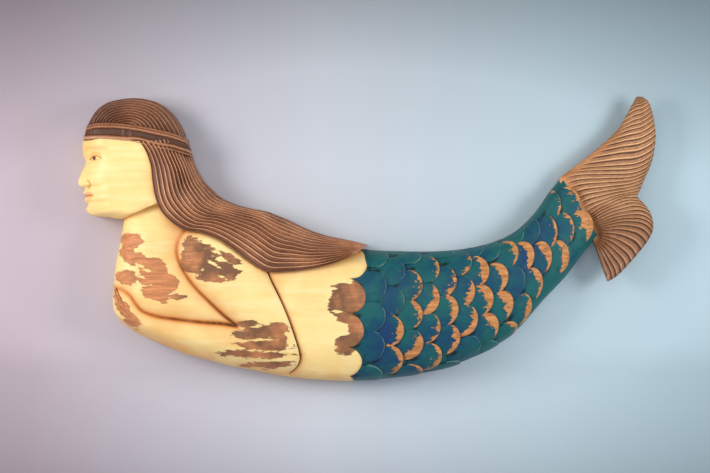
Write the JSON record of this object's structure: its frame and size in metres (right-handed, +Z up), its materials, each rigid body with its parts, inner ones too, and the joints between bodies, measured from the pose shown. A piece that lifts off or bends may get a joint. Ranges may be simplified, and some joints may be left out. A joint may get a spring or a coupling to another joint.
{
  "type": "mermaid wall sculpture",
  "caption": "Carved and painted wooden mermaid in high relief, lying on her front with raised head and tail fin, flat at the back to hang on a wall.",
  "frame": {"origin": "hanging point on the flat back, just above the centre of mass", "axes": "+Y out of the flat back into the wall, the carving faces -Y; +X along the length, from the head to the tail fin; +Z up"},
  "size_m": [0.922, 0.0901, 0.4563],
  "materials": {
    "painted_wood": "satin paint over carved wood, worn through to bare wood in places"
  },
  "bodies": {
    "root": {"mermaid_carving": "painted_wood"}
  },
  "joints": []
}
